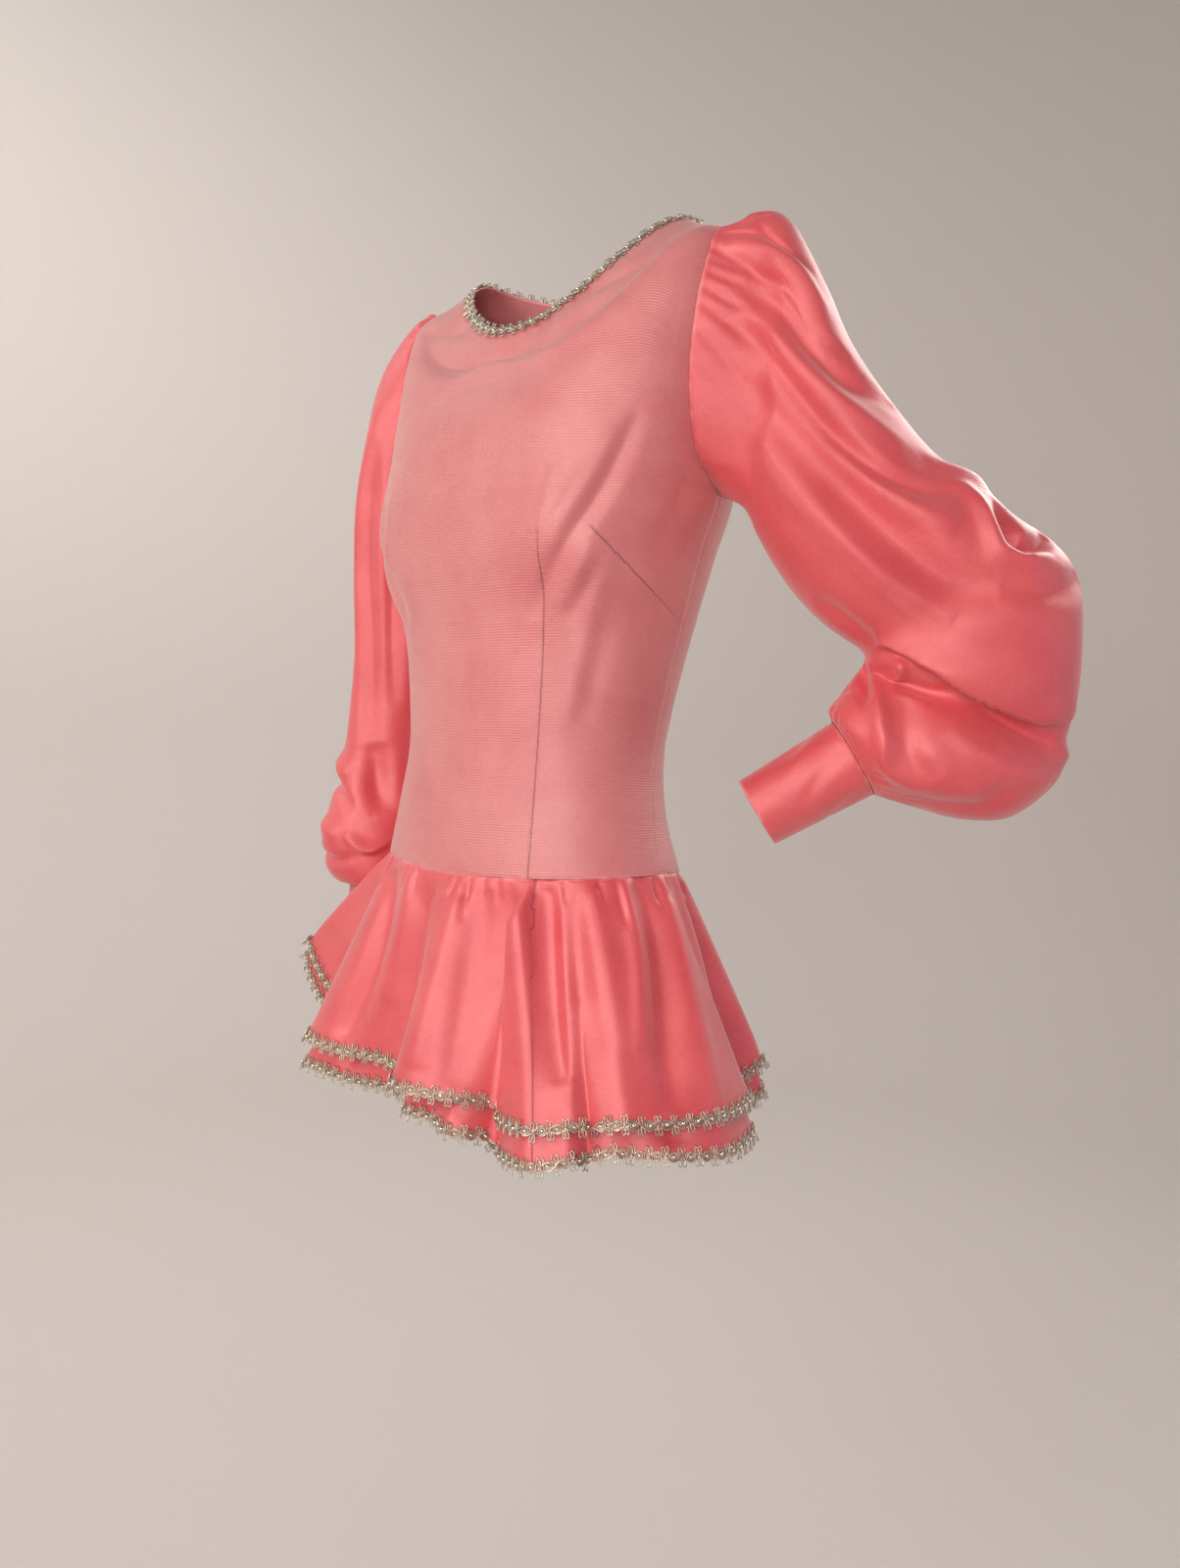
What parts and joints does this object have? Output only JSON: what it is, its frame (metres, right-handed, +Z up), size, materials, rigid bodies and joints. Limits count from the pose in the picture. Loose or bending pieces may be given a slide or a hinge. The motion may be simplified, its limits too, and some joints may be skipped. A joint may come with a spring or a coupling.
{
  "type": "figure skating dress",
  "caption": "Figure skating dress in satin-faced knit: darted bodice, bishop sleeves on deep cuffs, two-tier flared skirt, looped silver braid at neck and hems.",
  "frame": {"origin": "midway between the neck ends of the two shoulder seams, where the wearer's shoulders hold the dress", "axes": "+X towards the wearer's left, -Y the front, +Z up"},
  "size_m": [0.6394, 0.3599, 0.6902],
  "materials": {
    "satin_knit": "satin-faced warp knit, dusty coral pink",
    "satin_knit_skirt": "satin-faced warp knit, coral pink, looser and shinier",
    "silver_braid": "looped metallic silver gimp braid with small bright beads",
    "zip_tape": "woven tape dyed to match",
    "zip_hardware": "zip slider and pull enamelled to match"
  },
  "bodies": {
    "dress": {"bodice_front": "satin_knit", "bodice_back_left": "satin_knit", "bodice_back_right": "satin_knit", "sleeve_left": "satin_knit", "sleeve_right": "satin_knit", "cuff_left": "satin_knit", "cuff_right": "satin_knit", "skirt_upper": "satin_knit_skirt", "skirt_lower": "satin_knit_skirt", "braid_neck": "silver_braid", "braid_upper_hem": "silver_braid", "braid_lower_hem": "silver_braid", "zip_tape": "zip_tape", "zip_slider": "zip_hardware"},
    "pull": {"zip_pull": "zip_hardware"}
  },
  "joints": [
    {"name": "zip_pull_swing", "type": "hinge", "parent": "dress", "child": "pull", "pos_m": [0, 0.0837, -0.03647], "axis": [1, 0, 0], "range_deg": [0, 160]}
  ]
}
